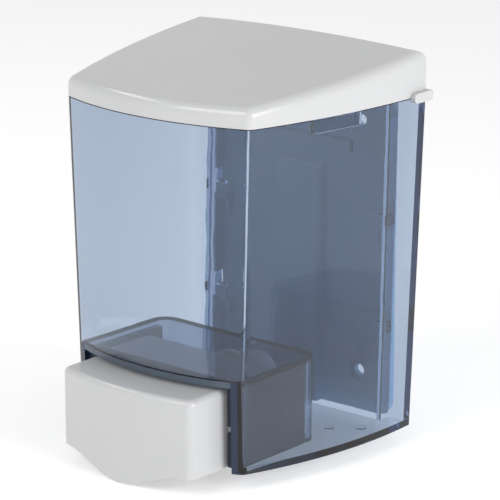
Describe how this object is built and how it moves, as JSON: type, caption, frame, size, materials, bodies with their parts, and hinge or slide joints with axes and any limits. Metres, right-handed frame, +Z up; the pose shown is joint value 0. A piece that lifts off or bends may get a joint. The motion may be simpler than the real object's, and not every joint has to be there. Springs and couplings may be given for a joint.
{
  "type": "wall mounted soap dispenser",
  "caption": "Wall mounted liquid soap dispenser: tinted tank with a hinged white lid, a wall bracket and a white push bar that works a small horizontal pump.",
  "frame": {"origin": "centre of the four wall-screw holes, on the wall plane behind the bracket", "axes": "+Z up, +Y into the wall, -Y towards the user, +X to the user's right"},
  "size_m": [0.1258, 0.1208, 0.1667],
  "materials": {
    "smoke_plastic": "clear smoke-blue moulding",
    "white_plastic": "glossy moulded white",
    "bracket_plastic": "fine matt moulding, pale blue-grey",
    "grey_plastic": "satin",
    "pump_plastic": "natural acetal, satin",
    "black_rubber": "matt",
    "clear_rubber": "silicone",
    "foam_tape": "closed-cell foam",
    "steel": "drawn stainless wire",
    "ball_glass": "polished"
  },
  "bodies": {
    "dispenser_body": {"tank": "smoke_plastic", "hinge_pin_left": "steel", "hinge_pin_right": "steel", "wall_bracket": "bracket_plastic", "retaining_strap": "white_plastic", "adhesive_pad_upper": "foam_tape", "adhesive_pad_lower": "foam_tape", "bar_guide_left": "grey_plastic", "bar_guide_right": "grey_plastic", "bar_bumper_left": "black_rubber", "bar_bumper_right": "black_rubber", "pump_cylinder": "pump_plastic", "cylinder_cap": "pump_plastic", "rod_wiper": "black_rubber", "wall_gasket": "black_rubber", "pump_nut": "pump_plastic", "pickup_elbow": "pump_plastic", "inlet_strainer": "pump_plastic", "inlet_ball": "ball_glass", "pump_spring": "steel"},
    "lid_body": {"lid": "white_plastic"},
    "bar_body": {"push_bar": "white_plastic", "piston": "pump_plastic", "piston_seal": "black_rubber", "nozzle_elbow": "pump_plastic", "nozzle_valve": "clear_rubber"}
  },
  "joints": [
    {"name": "lid_hinge", "type": "hinge", "parent": "dispenser_body", "child": "lid_body", "pos_m": [0, -0.007, 0.082], "axis": [-1, 0, 0], "range_deg": [0, 95]},
    {"name": "bar_push", "type": "slide", "parent": "dispenser_body", "child": "bar_body", "axis": [0, 1, 0], "range_m": [0, 0.012], "stiffness_N_per_m": 700, "springref_m": -0.004, "deforming": ["pump_spring"]}
  ]
}
